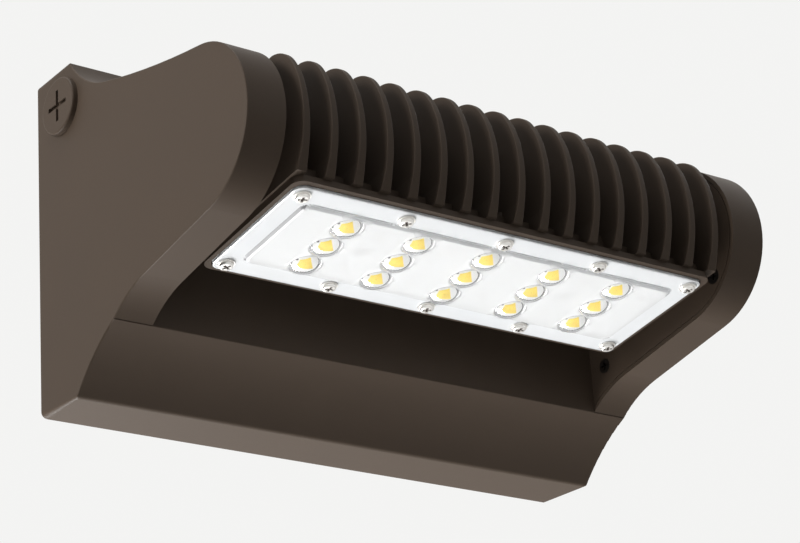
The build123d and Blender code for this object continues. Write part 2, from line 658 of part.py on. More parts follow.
def make_head_casting():
    strip_y = (STRIP_FRONT_Y + STRIP_BACK_Y) / 2
    strip_depth = STRIP_BACK_Y - STRIP_FRONT_Y
    base_y = (BASE_FRONT_Y + BASE_BACK_Y) / 2
    base_depth = BASE_BACK_Y - BASE_FRONT_Y
    base_width = 2 * (HEAD_HALF_W - BASE_STEP_SIDE)
    casting = slab(2 * HEAD_HALF_W, strip_depth, STRIP_CORNER_R, strip_y, (RIM_Z, STRIP_TOP_Z))
    casting += slab(base_width, base_depth, STRIP_CORNER_R - BASE_STEP_SIDE, base_y, (STRIP_TOP_Z, BASE_TOP_Z))
    boss_z = (STRIP_TOP_Z, BASE_TOP_Z + SCREW_BOSS_RISE)
    casting += [rod_z(SCREW_BOSS_R, x, y, boss_z) for x, y in screw_places()]
    fin = make_fin()
    casting += [Pos((i - (FIN_COUNT - 1) / 2) * FIN_PITCH, 0, 0) * fin for i in range(FIN_COUNT)]
    casting += [make_hub(side) for side in SIDES.values()]

    rebate = (PANEL_W + 2 * PANEL_GAP, PANEL_DEPTH + 2 * PANEL_GAP)
    casting -= slab(*rebate, PANEL_CORNER_R + PANEL_GAP, PANEL_Y, (RIM_Z - OVER, SEAT_Z))
    pocket = (2 * (BOARD_HALF_W + PANEL_GAP), 2 * (BOARD_HALF_DEPTH + PANEL_GAP))
    casting -= slab(*pocket, BOARD_CORNER_R + PANEL_GAP, PANEL_Y, (SEAT_Z - OVER, BOARD_SEAT_Z))
    screw_hole = (SEAT_Z - OVER, PANEL_Z + SCREW_LENGTH + TIP_ROOM)
    casting -= [rod_z(SCREW_R + THREAD, x, y, screw_hole) for x, y in screw_places()]
    board_hole = (SEAT_Z - OVER, BOARD_Z + BOARD_SCREW_LENGTH + TIP_ROOM)
    casting -= both_sides(rod_z(BOARD_SCREW_R + THREAD, BOARD_SCREW_X, PANEL_Y, board_hole))
    casting -= both_sides(rod_x(TRUNNION_R + THREAD, (TRUNNION_IN, HUB_FACE + OVER), 0, 0))
    casting -= rod_x(WIREWAY_R, (WIREWAY_X, TRUNNION_IN + OVER), 0, 0)
    casting -= rod_z(WIREWAY_R, WIREWAY_X, 0, (BOARD_SEAT_Z - OVER, 0))
    casting -= Pos(WIREWAY_X, 0, 0) * Sphere(WIREWAY_R)
    casting -= both_sides(rod_x(STOP_R + THREAD, (HEAD_HALF_W - OVER, HUB_FACE), 0, STOP_RING))
    return casting


# ------------------------------------------------------------------------- lens panel, board and LEDs
def make_lens_panel():
    """Flange, raised field with sloping edges, and the lenses, hollow over each LED."""
    panel = slab(PANEL_W, PANEL_DEPTH, PANEL_CORNER_R, PANEL_Y, (PANEL_Z, PANEL_BACK_Z))
    foot = RectangleRounded(
        2 * (FIELD_HALF_W + FIELD_EDGE), 2 * (FIELD_HALF_DEPTH + FIELD_EDGE), FIELD_CORNER_R + FIELD_EDGE)
    rim = RectangleRounded(2 * FIELD_HALF_W, 2 * FIELD_HALF_DEPTH, FIELD_CORNER_R)
    places = (Pos(0, PANEL_Y, PANEL_Z) * foot, Pos(0, PANEL_Y, FIELD_Z) * rim)
    panel += loft([outline.face() for outline in places], ruled=True)
    ball_r = (LENS_R ** 2 + LENS_RISE ** 2) / (2 * LENS_RISE)
    below = block((-LENS_R, LENS_R), (-LENS_R, LENS_R), (-LENS_RISE, 0))
    cap = (Pos(0, 0, ball_r - LENS_RISE) * Sphere(ball_r)) & below
    panel += [Pos(x, y, FIELD_Z) * cap for x, y in lens_places()]
    panel -= [Pos(x, y, PANEL_BACK_Z) * Sphere(LENS_HOLLOW_R) for x, y in lens_places()]
    screw_hole = (PANEL_Z - OVER, PANEL_BACK_Z + OVER)
    panel -= [rod_z(SCREW_R + EASE, x, y, screw_hole) for x, y in screw_places()]
    relief = (BOARD_Z - BOARD_SCREW_HEAD_T - BOARD_AIR, PANEL_BACK_Z + OVER)
    return panel - both_sides(rod_z(BOARD_SCREW_HEAD_R + EASE, BOARD_SCREW_X, PANEL_Y, relief))


def make_lens_gasket():
    gasket = slab(PANEL_W, PANEL_DEPTH, PANEL_CORNER_R, PANEL_Y, (PANEL_BACK_Z, SEAT_Z))
    through = (PANEL_BACK_Z - OVER, SEAT_Z + OVER)
    half_w = BOARD_HALF_W + GASKET_REACH
    half_depth = BOARD_HALF_DEPTH + GASKET_REACH
    gasket -= slab(2 * half_w, 2 * half_depth, BOARD_CORNER_R + GASKET_REACH, PANEL_Y, through)
    return gasket - [rod_z(SCREW_R + EASE, x, y, through) for x, y in screw_places()]


def make_led_board():
    board = slab(2 * BOARD_HALF_W, 2 * BOARD_HALF_DEPTH, BOARD_CORNER_R, PANEL_Y, (BOARD_Z, BOARD_SEAT_Z))
    through = (BOARD_Z - OVER, BOARD_SEAT_Z + OVER)
    board -= both_sides(rod_z(BOARD_SCREW_R + EASE, BOARD_SCREW_X, PANEL_Y, through))
    return board - rod_z(LEAD_R + EASE, WIREWAY_X, 0, through)


def make_led(x, y):
    return Pos(x, y, BOARD_Z - LED_T / 2) * Box(LED_SIZE, LED_SIZE, LED_T)


def make_lens_screw(x, y):
    head = rod_z(SCREW_HEAD_R, 0, 0, (-SCREW_HEAD_T, 0))
    head = fillet(head.edges().sort_by(Axis.Z)[0], SCREW_HEAD_T * 0.6)
    head -= cross_recess(Pos(0, 0, -SCREW_HEAD_T), SCREW_HEAD_R)
    screw = head + rod_z(SCREW_R, 0, 0, (0, SCREW_WASHER_T + SCREW_LENGTH))
    return Pos(x, y, PANEL_Z - SCREW_WASHER_T) * screw


def make_lens_washer(x, y):
    z = (PANEL_Z - SCREW_WASHER_T, PANEL_Z)
    return rod_z(SCREW_WASHER_R, x, y, z) - rod_z(SCREW_R + EASE, x, y, (z[0] - OVER, z[1] + OVER))


def make_board_screw():
    head = rod_z(BOARD_SCREW_HEAD_R, BOARD_SCREW_X, PANEL_Y, (BOARD_Z - BOARD_SCREW_HEAD_T, BOARD_Z))
    head -= cross_recess(Pos(BOARD_SCREW_X, PANEL_Y, BOARD_Z - BOARD_SCREW_HEAD_T), BOARD_SCREW_HEAD_R)
    return head + rod_z(BOARD_SCREW_R, BOARD_SCREW_X, PANEL_Y, (BOARD_Z, BOARD_Z + BOARD_SCREW_LENGTH))


# ------------------------------------------------------------------------- wall plate and fixings
def plate_outline():
    """Width and height of the wall plate and its gasket, inside the housing's walls."""
    edge = 2 * (WALL + PLATE_GAP)
    return WIDTH - edge, HEIGHT - edge


def make_wall_plate():
    plate = upright_plate(*plate_outline(), PLATE_CORNER_R, (-PLATE_T, 0))
    through = (-PLATE_T - OVER, OVER)
    plate -= rod_y(WIRE_HOLE_R, 0, through, 0)
    for side in (-1, 1):
        plate -= rod_y(BOX_HOLE_R, side * BOX_SPACING_X / 2, through, 0)
        plate -= rod_y(BOX_HOLE_R, 0, through, side * BOX_SPACING_Z / 2)
        plate -= rod_y(LAG_HOLE_R, side * LAG_X, through, LAG_Z)
        plate -= rod_y(LAG_HOLE_R, side * LAG_X, through, -LAG_Z)
    return plate


def make_plate_gasket():
    width, height = plate_outline()
    ring = upright_plate(width, height, PLATE_CORNER_R, (LEDGE_BACK, -PLATE_T))
    inside = (width - 2 * GASKET_W, height - 2 * GASKET_W)
    return ring - upright_plate(*inside, PLATE_CORNER_R / 2, (LEDGE_BACK - OVER, OVER - PLATE_T))


def make_post():
    post = rod_y(POST_R, POST_X, (INNER_WALL, -PLATE_T), POST_Z)
    depth = (INNER_WALL - OVER, RECESS_Y - SEAL_T + HOUSING_SCREW_LENGTH + TIP_ROOM)
    return post - rod_y(HOUSING_SCREW_R + THREAD, POST_X, depth, POST_Z)


def make_housing_screw():
    seat = RECESS_Y - SEAL_T
    top = seat - HOUSING_SCREW_HEAD_T
    head = rod_y(HOUSING_SCREW_HEAD_R, POST_X, (top, seat), POST_Z)
    head = fillet(head.edges().sort_by(Axis.Y)[0], HOUSING_SCREW_ROUND)
    head -= cross_recess(Pos(POST_X, top, POST_Z) * Rot(90, 0, 0), HOUSING_SCREW_HEAD_R)
    return head + rod_y(HOUSING_SCREW_R, POST_X, (seat, seat + HOUSING_SCREW_LENGTH), POST_Z)


def make_screw_seal():
    y = (RECESS_Y - SEAL_T, RECESS_Y)
    hole = rod_y(HOUSING_SCREW_R + EASE, POST_X, (y[0] - OVER, y[1] + OVER), POST_Z)
    return rod_y(SEAL_R, POST_X, y, POST_Z) - hole


def make_plug():
    """Right hand closing plug: rounded rim, crossed slots, hollow threaded shank, groove for its seal."""
    top = HALF_W + PLUG_HEAD_T
    end = HALF_W - PLUG_SHANK_LENGTH
    head = rod_x(PLUG_HEAD_R, (HALF_W, top), PLUG_Y, PLUG_Z)
    head = fillet(head.edges().sort_by(Axis.X)[-1], PLUG_HEAD_ROUND)
    face = Pos(top, PLUG_Y, PLUG_Z) * Rot(0, 90, 0)
    head -= cross_slots(face, PLUG_SLOT_LENGTH, PLUG_SLOT_W, PLUG_SLOT_DEPTH)
    head += rod_x(PLUG_SHANK_R, (end, HALF_W), PLUG_Y, PLUG_Z)
    head -= rod_x(PLUG_SHANK_R - PLUG_SHANK_WALL, (end - OVER, HALF_W - PLUG_SHANK_WALL), PLUG_Y, PLUG_Z)
    return head - plug_seal_ring()


def plug_seal_ring():
    """Right hand seal, in the groove under the plug's head."""
    x = (HALF_W, HALF_W + PLUG_SEAL_SECTION)
    return ring_x(PLUG_SEAL_R + PLUG_SEAL_SECTION, PLUG_SEAL_R - PLUG_SEAL_SECTION, x, PLUG_Y, PLUG_Z)


def make_ground_screw():
    top = -PLATE_T - GROUND_T
    hexagon = Plane.XZ.offset(PLATE_T) * Pos(GROUND_X, GROUND_Z) * RegularPolygon(GROUND_R, 6)
    slot_z = around(GROUND_Z, GROUND_SLOT / 2)
    slot = block(around(GROUND_X, GROUND_R + OVER), (top - OVER, top + GROUND_SLOT), slot_z)
    return extrude(hexagon, amount=GROUND_T) - slot


# ------------------------------------------------------------------------- electrical pieces
def make_driver_case():
    y = (DEVICE_Y, DEVICE_Y + DRIVER_T)
    case = block(around(0, DRIVER_HALF_W), y, around(DRIVER_Z, DRIVER_HALF_H))
    return fillet(case.edges().filter_by(Axis.X), DRIVER_EDGE_R)


def make_driver_cap():
    """Right hand end cap with its fixing tab."""
    y = (DEVICE_Y, DEVICE_Y + DRIVER_T)
    tab_y = (DEVICE_Y, DEVICE_Y + DRIVER_TAB_T)
    cap = block((DRIVER_HALF_W, DRIVER_END), y, around(DRIVER_Z, DRIVER_HALF_H))
    cap += block((DRIVER_END, DRIVER_END + DRIVER_TAB), tab_y, around(DRIVER_Z, DRIVER_TAB_HALF_H))
    hole = (DEVICE_Y - OVER, DEVICE_Y + DRIVER_TAB_T + OVER)
    return cap - rod_y(DEVICE_SCREW_R + EASE, DRIVER_SCREW_X, hole, DRIVER_Z)


def make_device_screw(x, z, thickness):
    """Pan head screw that holds a device of the given thickness to its seat."""
    top = DEVICE_Y + thickness
    head = rod_y(DEVICE_SCREW_HEAD_R, x, (top, top + DEVICE_SCREW_HEAD_T), z)
    return head + rod_y(DEVICE_SCREW_R, x, (INNER_WALL, top), z)


def make_device(x, z, half_w, half_h, thickness):
    """Block with eased corners and a hole for its fixing screw."""
    body = block(around(x, half_w), (DEVICE_Y, DEVICE_Y + thickness), around(z, half_h))
    body = fillet(body.edges().filter_by(Axis.Y), DEVICE_EDGE_R)
    return body - rod_y(DEVICE_SCREW_R + EASE, x, (DEVICE_Y - OVER, DEVICE_Y + thickness + OVER), z)


def make_terminal_block():
    body = make_device(TERMINAL_X, TERMINAL_Z, TERMINAL_HALF_W, TERMINAL_HALF_H, TERMINAL_T)
    top = DEVICE_Y + TERMINAL_T
    for x in TERMINAL_WELLS:
        well_y = (top - TERMINAL_WELL_DEPTH, top + OVER)
        body -= rod_y(TERMINAL_WELL_R, TERMINAL_X + x, well_y, TERMINAL_Z - TERMINAL_WELL_DROP)
    return body


def make_driver_lead():
    """Driver to the right trunnion: along the box, through the arm, then into the hollow trunnion."""
    start = (DRIVER_END, DEVICE_Y + DRIVER_LEAD_OUT, DRIVER_Z + DRIVER_LEAD_UP)
    points = [tuple(a + b for a, b in zip(start, bend)) for bend in DRIVER_LEAD_BENDS]
    points.append((LEAD_X - LEAD_TURN[0], INNER_WALL + LEAD_TURN[1], PIVOT_Z - LEAD_TURN[2]))
    points += [(LEAD_X, PIVOT_Y + y, PIVOT_Z + z) for y, z in LEAD_ARM_RUN]
    points.append((ARM_IN + NUT_WELL_T, PIVOT_Y, PIVOT_Z))
    radii = bend_radii(points)
    radii[-1] = LEAD_X - TRUNNION_OUT - FACE
    return tube(points, radii, LEAD_R)


def make_head_lead():
    """On from the driver lead's end, through the hollow trunnion, down to the LED board."""
    points = [(ARM_IN + NUT_WELL_T, 0, 0), (WIREWAY_X, 0, 0), (WIREWAY_X, 0, BOARD_Z)]
    return tube(points, [WIREWAY_R], LEAD_R)


def make_supply_wire():
    """Right hand wire from the terminal block down to the driver."""
    y = DEVICE_Y + SUPPLY_OUT
    top = TERMINAL_Z - TERMINAL_HALF_H
    end = DRIVER_Z + DRIVER_HALF_H
    points = [
        (SUPPLY_X[0], y, top), (SUPPLY_X[0], y, top - SUPPLY_STRAIGHT),
        (SUPPLY_X[1], y + SUPPLY_STEP, end + SUPPLY_STRAIGHT), (SUPPLY_X[1], y + SUPPLY_STEP, end),
    ]
    return tube(points, bend_radii(points), WIRE_R)


def make_surge_wire():
    """Surge protector to the terminal block."""
    x = SURGE_X - SURGE_WIRE_X
    y = DEVICE_Y + SURGE_WIRE_OUT
    z = SURGE_Z + SURGE_HALF_H
    points = [(x + bend_x, y, z + bend_z) for bend_x, bend_z in SURGE_WIRE_BENDS]
    points += [(x - SURGE_WIRE_REACH, y, TERMINAL_Z), (TERMINAL_X + TERMINAL_HALF_W, y, TERMINAL_Z)]
    return tube(points, bend_radii(points), WIRE_R)


# ------------------------------------------------------------------------- the assembly
def at_rest(piece):
    """A piece of the head, turned to the rest tilt and moved to the tilt axis."""
    return Pos(0, PIVOT_Y, PIVOT_Z) * Rot(-REST_TILT, 0, 0) * piece


def housing_nodes(profile):
    """Everything that stays on the wall, apart from the pieces of one side."""
    driver_screw = make_device_screw(DRIVER_SCREW_X, DRIVER_Z, DRIVER_TAB_T)
    device_screws = [
        make_device_screw(SURGE_X, SURGE_Z, SURGE_T), make_device_screw(TERMINAL_X, TERMINAL_Z, TERMINAL_T),
    ]
    cover_screws = [screw for y, z in cover_screw_places() for screw in both_sides(make_cover_screw(y, z))]
    return {
        "housing": make_housing(profile),
        "wall_plate": make_wall_plate(),
        "plate_gasket": make_plate_gasket(),
        "plate_posts": group(both_sides(make_post())),
        "housing_screws": group(both_sides(make_housing_screw())),
        "housing_screw_seals": group(both_sides(make_screw_seal())),
        "conduit_plug_seals": group(both_sides(plug_seal_ring())),
        "arm_cover_screws": group(cover_screws),
        "ground_screw": make_ground_screw(),
        "driver_case": make_driver_case(),
        "driver_end_caps": group(both_sides(make_driver_cap())),
        "driver_screws": group(both_sides(driver_screw)),
        "surge_protector": make_device(SURGE_X, SURGE_Z, SURGE_HALF_W, SURGE_HALF_H, SURGE_T),
        "terminal_block": make_terminal_block(),
        "device_screws": group(device_screws),
        "driver_lead": make_driver_lead(),
        "supply_wires": group(both_sides(make_supply_wire())),
        "surge_wire": make_surge_wire(),
    }


def side_nodes(profile):
    """The pieces that each arm and each end of the head has one of."""
    fixed = {
        "conduit_plug": make_plug(),
        "arm_cover": make_arm_cover(profile),
        "pivot_bush": ring_x(BUSH_R, TRUNNION_R + RUN, (ARM_IN, ARM_IN + NUT_WELL_T), PIVOT_Y, PIVOT_Z),
    }
    tilting = {
        "trunnion": ring_x(TRUNNION_R, TRUNNION_BORE_R, (TRUNNION_IN, TRUNNION_OUT)),
        "friction_washer": ring_x(HUB_R, TRUNNION_R + RUN, (HUB_FACE, HUB_FACE + FRICTION_T)),
        "spring_washer": ring_x(SPRING_WASHER_R, TRUNNION_R + RUN, (NUT_SEAT, NUT_FACE)),
        "lock_nut": make_nut(),
        "stop_pin": rod_x(STOP_R, (HEAD_HALF_W - OVER, ARM_IN + STOP_DEPTH), 0, STOP_RING),
    }
    nodes = {}
    for name, side in SIDES.items():
        nodes |= {f"{piece}_{name}": on_side(solid, side) for piece, solid in fixed.items()}
        nodes |= {f"{piece}_{name}": at_rest(on_side(solid, side)) for piece, solid in tilting.items()}
    return nodes


def head_nodes():
    """The head between its two ends, drawn about the tilt axis."""
    return {
        "head_casting": make_head_casting(),
        "led_board": make_led_board(),
        "leds": group([make_led(x, y) for x, y in lens_places()]),
        "board_screws": group(both_sides(make_board_screw())),
        "lens_gasket": make_lens_gasket(),
        "lens_panel": make_lens_panel(),
        "lens_washers": group([make_lens_washer(x, y) for x, y in screw_places()]),
        "lens_screws": group([make_lens_screw(x, y) for x, y in screw_places()]),
        "head_lead": make_head_lead(),
    }


def main():
    profile = side_profile()
    nodes = housing_nodes(profile) | side_nodes(profile)
    nodes |= {name: at_rest(solid) for name, solid in head_nodes().items()}
    os.makedirs("parts", exist_ok=True)
    for name, solid in nodes.items():
        export_step(solid, f"parts/{name}.step")
    print(len(nodes), "nodes written")


main()
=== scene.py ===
import math

import bpy
import numpy as np
from mathutils import Matrix, Vector


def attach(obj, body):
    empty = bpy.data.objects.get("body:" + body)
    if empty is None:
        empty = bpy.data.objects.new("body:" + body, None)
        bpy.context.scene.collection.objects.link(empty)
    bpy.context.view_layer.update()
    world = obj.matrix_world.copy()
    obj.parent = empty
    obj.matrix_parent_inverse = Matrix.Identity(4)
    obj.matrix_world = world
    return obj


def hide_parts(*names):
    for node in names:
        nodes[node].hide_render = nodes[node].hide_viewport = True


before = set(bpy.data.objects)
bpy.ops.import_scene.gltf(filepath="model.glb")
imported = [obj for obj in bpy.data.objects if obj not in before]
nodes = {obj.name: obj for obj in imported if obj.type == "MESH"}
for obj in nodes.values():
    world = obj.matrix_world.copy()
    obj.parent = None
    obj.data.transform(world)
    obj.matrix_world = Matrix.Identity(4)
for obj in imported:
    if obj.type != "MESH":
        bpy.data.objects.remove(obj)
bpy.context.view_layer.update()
MM = 0.001

# ------------------------------------------------------------------ camera
# The photograph is taken with a long lens from below, in front and to the left of the light.
# Place, lens and axes were solved from the edges of the housing and of the lens panel.
CAMERA_PLACE = Vector((-0.73034, -1.01116, -0.48654))
CAMERA_RIGHT = Vector((0.80007, -0.59689, -0.06011))
CAMERA_DOWN = Vector((0.17844, 0.33244, -0.92609))
CAMERA_FORWARD = Vector((0.57276, 0.73021, 0.37248))
LENS_MM = 120.54

camera_data = bpy.data.cameras.new("camera")
camera_data.sensor_width = 36.0
camera_data.lens = LENS_MM
camera = bpy.data.objects.new("camera", camera_data)
turn = Matrix((CAMERA_RIGHT, -CAMERA_DOWN, -CAMERA_FORWARD)).transposed()
camera.matrix_world = Matrix.Translation(CAMERA_PLACE) @ turn.to_4x4()
bpy.context.scene.collection.objects.link(camera)
bpy.context.scene.camera = camera

# ------------------------------------------------------------------ light and surroundings
# A plain studio: one broad soft lamp from the left, one behind and below for the lens panel,
# and weak ones from the front, from above and from the right. The pale backdrop is the world's
# colour as the camera and shiny things see it.
BACKDROP = (0.90, 0.90, 0.891, 1.0)
FILL_TINT = (1.0, 0.99, 0.975, 1.0)
FILL_LIGHT = 0.20
LAMPS = {
    "left_softbox": {"place": (-1.7, -0.15, 0.35), "size": 0.8, "power": 27.0},
    "front_softbox": {"place": (0.5, -1.7, 0.8), "size": 1.0, "power": 3.5},
    "panel_softbox": {"place": (-0.15, 0.75, -1.1), "size": 0.9, "power": 43.0},
    "top_softbox": {"place": (-0.5, -0.1, 1.6), "size": 0.8, "power": 14.0},
    "right_edge_lamp": {"place": (1.3, 0.1, 0.6), "size": 0.6, "power": 7.0},
}
LIT_POINT = Vector((0.0, -0.09, 0.0))

scene = bpy.context.scene
scene.view_settings.view_transform = "Standard"
for lamp_name, lamp in LAMPS.items():
    light = bpy.data.lights.new(lamp_name, "AREA")
    light.shape = "SQUARE"
    light.size = lamp["size"]
    light.energy = lamp["power"]
    lamp_object = bpy.data.objects.new(lamp_name, light)
    lamp_object.location = lamp["place"]
    aim = LIT_POINT - Vector(lamp["place"])
    lamp_object.rotation_euler = aim.to_track_quat("-Z", "Y").to_euler()
    scene.collection.objects.link(lamp_object)

world = bpy.data.worlds.new("studio")
scene.world = world
world.use_nodes = True
sky = world.node_tree
sky.nodes.clear()
seen = sky.nodes.new("ShaderNodeLightPath")
shiny_seen = sky.nodes.new("ShaderNodeMath")
shiny_seen.operation = "MAXIMUM"
sky.links.new(seen.outputs["Is Glossy Ray"], shiny_seen.inputs[0])
sky.links.new(seen.outputs["Is Transmission Ray"], shiny_seen.inputs[1])
any_seen = sky.nodes.new("ShaderNodeMath")
any_seen.operation = "MAXIMUM"
sky.links.new(seen.outputs["Is Camera Ray"], any_seen.inputs[0])
sky.links.new(shiny_seen.outputs[0], any_seen.inputs[1])
fill = sky.nodes.new("ShaderNodeBackground")
fill.inputs["Color"].default_value = FILL_TINT
fill.inputs["Strength"].default_value = FILL_LIGHT
pale = sky.nodes.new("ShaderNodeBackground")
pale.inputs["Color"].default_value = BACKDROP
either = sky.nodes.new("ShaderNodeMixShader")
sky.links.new(any_seen.outputs[0], either.inputs["Fac"])
sky.links.new(fill.outputs[0], either.inputs[1])
sky.links.new(pale.outputs[0], either.inputs[2])
sky_out = sky.nodes.new("ShaderNodeOutputWorld")
sky.links.new(either.outputs[0], sky_out.inputs["Surface"])


# ------------------------------------------------------------------ wall plate
# A zinc plated steel sheet that the whole light hangs on, stamped with a wire hole in the middle,
# holes for junction boxes and one anchor hole in each corner. Its finish is the first one mixed here.
class Wire:
    """One socket of a finish. Plain arithmetic on it adds Math nodes; numbers are used as they are."""

    def __init__(self, finish, socket):
        self.finish = finish
        self.socket = socket

    def __add__(self, other):
        return self.finish.maths("ADD", self, other)

    def __mul__(self, other):
        return self.finish.maths("MULTIPLY", self, other)

    __radd__ = __add__
    __rmul__ = __mul__


class Finish:
    """A material: a Principled surface, and the nodes that drive it from the object's own coordinates."""

    def __init__(self, name, **surface):
        self.material = bpy.data.materials.new(name)
        self.material.use_nodes = True
        self.tree = self.material.node_tree
        self.surface = self.tree.nodes["Principled BSDF"]
        for socket, value in surface.items():
            self.surface.inputs[socket.replace("_", " ")].default_value = value
        self.place = self.node("ShaderNodeTexCoord", out="Object")

    def node(self, kind, settings=None, out=0, **sockets):
        """Adds a node, sets it up, fills its sockets with values or links, and gives one output."""
        made = self.tree.nodes.new(kind)
        for key, value in (settings or {}).items():
            setattr(made, key, value)
        for key, value in sockets.items():
            name = key.replace("_", " ")
            target = made.inputs[int(name[1:])] if name[1:].isdigit() else made.inputs[name]
            self.feed(target, value)
        return Wire(self, made.outputs[out])

    def feed(self, target, value):
        """Links a value that is a Wire to a socket, and sets any other value on it."""
        if isinstance(value, Wire):
            self.tree.links.new(value.socket, target)
        else:
            target.default_value = value

    def maths(self, operation, first, second):
        """A Math node on two values or links."""
        return self.node("ShaderNodeMath", {"operation": operation}, i0=first, i1=second)

    def noise(self, size_mm, detail=2.0, rough=0.5, stretch=(1, 1, 1)):
        """Noise from 0 to 1 whose features are about size_mm across, drawn out along an axis by stretch."""
        scale = [1.0 / (size_mm * MM * s) for s in stretch]
        spread = self.node("ShaderNodeMapping", Vector=self.place, Scale=scale)
        return self.node("ShaderNodeTexNoise", Vector=spread, Scale=1.0, Detail=detail, Roughness=rough)

    def between(self, mask, low, high):
        """Colour that goes from low to high with a mask."""
        return self.node(
            "ShaderNodeMix", {"data_type": "RGBA"}, out=2, Factor=mask, i6=(*low, 1.0), i7=(*high, 1.0))

    def drive(self, **sockets):
        """Feeds sockets of the Principled surface."""
        for socket, value in sockets.items():
            self.feed(self.surface.inputs[socket.replace("_", " ")], value)

    def bump(self, height, depth_mm, strength=1.0):
        """Raises the surface by height, a mask, times depth_mm."""
        raised = self.node("ShaderNodeBump", Height=height, Distance=depth_mm * MM, Strength=strength)
        self.drive(Normal=raised)


def paint(finish, *names):
    """Gives CAD nodes a finish."""
    for name in names:
        slots = nodes[name].data.materials
        slots.clear()
        slots.append(finish.material)


def metal(name, dark, light, roughness, size_mm=0.8, stretch=(1, 1, 1), depth_mm=0.01):
    """Bare metal whose tone and gloss wander with the marks of how it was made."""
    finish = Finish(name, Metallic=1.0)
    marks = finish.noise(size_mm, 3.0, 0.6, stretch)
    finish.drive(Base_Color=finish.between(marks, dark, light), Roughness=marks * 0.16 + roughness)
    finish.bump(marks, depth_mm)
    return finish


zinc = metal("zinc_plate", (0.22, 0.225, 0.23), (0.32, 0.325, 0.33), 0.50, 6.0)
paint(zinc, "wall_plate")


# ------------------------------------------------------------------ seals
# Moulded rubber: the gasket round the wall plate, the washers under the two long housing screws and
# the rings in the conduit entries. Dark, dry and slightly dusty, squeezed between the cast pieces.
def moulded(name, dark, light, roughness, size_mm=1.4, depth_mm=0.02, **surface):
    """Rubber, plastic or enamel: two close tones mixed by noise, with an uneven gloss and a faint bump."""
    finish = Finish(name, **surface)
    cloud = finish.noise(size_mm * 9, 3.0)
    grain = finish.noise(size_mm, 2.0, 0.6)
    finish.drive(
        Base_Color=finish.between(cloud * 0.6 + grain * 0.4, dark, light),
        Roughness=grain * 0.14 + cloud * 0.08 + roughness)
    finish.bump(grain, depth_mm)
    return finish


seal_rubber = moulded("seal_rubber", (0.012, 0.012, 0.013), (0.030, 0.029, 0.028), 0.58)
paint(seal_rubber, "plate_gasket", "housing_screw_seals", "conduit_plug_seals")

# ------------------------------------------------------------------ posts and bright hardware
# Turned and pressed steel: the posts on the wall plate, the long housing screws that go into them,
# and on each side of the head the hollow trunnion in its bronze bush, friction and spring washers,
# lock nut and stop pin. The ground screw is green, and the arm cover screws are blackened.
turned_steel = metal("turned_steel", (0.50, 0.50, 0.49), (0.72, 0.71, 0.69), 0.24, 0.5, (6, 1, 1))
spring_steel = metal("spring_steel", (0.16, 0.15, 0.15), (0.30, 0.29, 0.28), 0.34, 0.7)
bronze = metal("bush_bronze", (0.42, 0.27, 0.12), (0.58, 0.40, 0.20), 0.32, 0.6, (5, 1, 1))
friction_fibre = moulded("friction_fibre", (0.060, 0.050, 0.040), (0.115, 0.100, 0.080), 0.72, 0.5, 0.05)
black_steel = metal("black_steel", (0.030, 0.026, 0.023), (0.060, 0.052, 0.046), 0.40, 0.6)
ground_green = moulded("ground_green", (0.015, 0.150, 0.050), (0.030, 0.230, 0.085), 0.30, 1.0, 0.01)
paint(turned_steel, "plate_posts", "housing_screws", "driver_screws", "device_screws")
paint(ground_green, "ground_screw")
paint(black_steel, "arm_cover_screws")
for side in ("left", "right"):
    paint(turned_steel, "trunnion_" + side, "stop_pin_" + side, "lock_nut_" + side)
    paint(spring_steel, "spring_washer_" + side)
    paint(friction_fibre, "friction_washer_" + side)
    paint(bronze, "pivot_bush_" + side)

# ------------------------------------------------------------------ driver and other devices
# Inside the housing: the LED driver in a drawn aluminium can with plastic end caps, the surge
# protector in a potted plastic box, the terminal block, and the round leads and wires between them.
driver_can = metal("driver_can", (0.52, 0.53, 0.54), (0.68, 0.69, 0.70), 0.36, 0.5, (14, 1, 1), 0.015)
black_plastic = moulded("black_plastic", (0.014, 0.014, 0.015), (0.028, 0.028, 0.029), 0.44, 0.8)
terminal_plastic = moulded("terminal_plastic", (0.62, 0.60, 0.54), (0.72, 0.70, 0.64), 0.40, 0.8)
lead_sheath = moulded("lead_sheath", (0.016, 0.016, 0.017), (0.034, 0.033, 0.032), 0.46, 1.0)
wire_white = moulded("wire_white", (0.60, 0.60, 0.58), (0.74, 0.74, 0.71), 0.36, 1.0)
paint(driver_can, "driver_case")
paint(black_plastic, "driver_end_caps", "surge_protector")
paint(terminal_plastic, "terminal_block")
paint(lead_sheath, "driver_lead", "head_lead", "surge_wire")
paint(wire_white, "supply_wires")

# ------------------------------------------------------------------ housing, arm covers, plugs
# Die-cast aluminium in a dark bronze powder coat. The coat has a fine orange peel, gathers a little
# on flat faces, and shows the grain of the powder as a dull sparkle.
COAT_DARK = (0.046, 0.0325, 0.0230)
COAT_LIGHT = (0.059, 0.0420, 0.0300)
CLOUD_MM = 34.0
PEEL_MM = 0.9
GRAIN_MM = 0.28
COAT_SPECULAR = 0.12
COAT_BUMP_MM = 0.055


def powder_coat(name, dark, light, roughness):
    """Cloud of tone over the casting, orange peel about a millimetre across, and finer powder grain."""
    finish = Finish(name, Specular_IOR_Level=COAT_SPECULAR)
    cloud = finish.noise(CLOUD_MM, 3.0, 0.55)
    peel = finish.noise(PEEL_MM, 2.0, 0.5)
    grain = finish.noise(GRAIN_MM, 2.0, 0.7)
    finish.drive(
        Base_Color=finish.between(cloud * 0.6 + peel * 0.2 + grain * 0.2, dark, light),
        Roughness=grain * 0.12 + cloud * 0.10 + roughness)
    finish.bump(peel * 0.7 + grain * 0.3, COAT_BUMP_MM, 0.8)
    return finish


